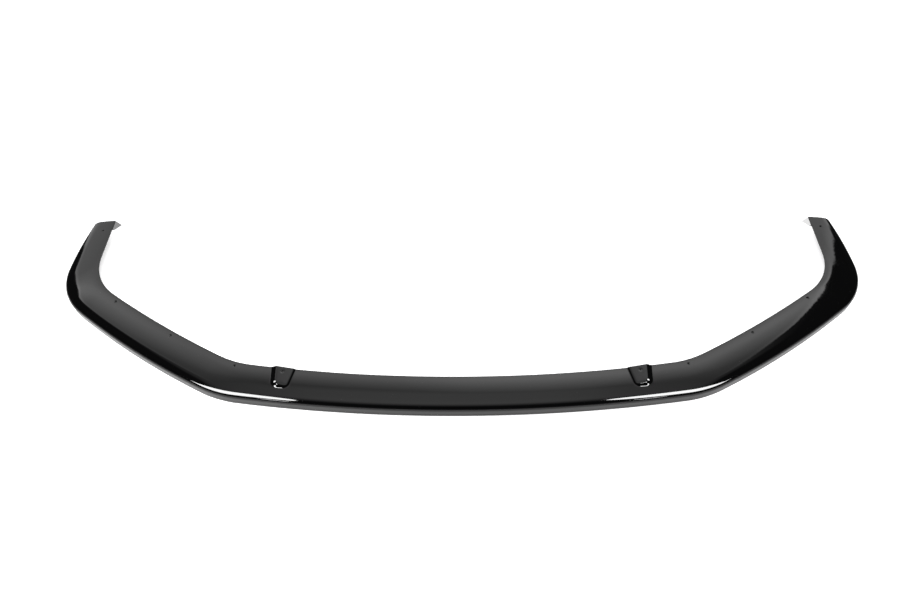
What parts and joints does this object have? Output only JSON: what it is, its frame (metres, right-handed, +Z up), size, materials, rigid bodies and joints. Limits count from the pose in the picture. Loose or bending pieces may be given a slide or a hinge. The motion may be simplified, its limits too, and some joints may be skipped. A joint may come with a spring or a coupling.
{
  "type": "front splitter lip",
  "caption": "Curved front splitter lip for a car: a crowned flange with a rolled nose, swept-back arms, raised screw tongues and drilled screw holes.",
  "frame": {"origin": "middle of the lip's width and depth, on the plane of its lower edge", "axes": "+X across the car, +Y to the rear of the car, +Z up"},
  "size_m": [1.7998, 0.543, 0.043],
  "materials": {
    "gloss_black": "high gloss black, formed sheet"
  },
  "bodies": {
    "root": {"splitter_lip": "gloss_black"}
  },
  "joints": []
}
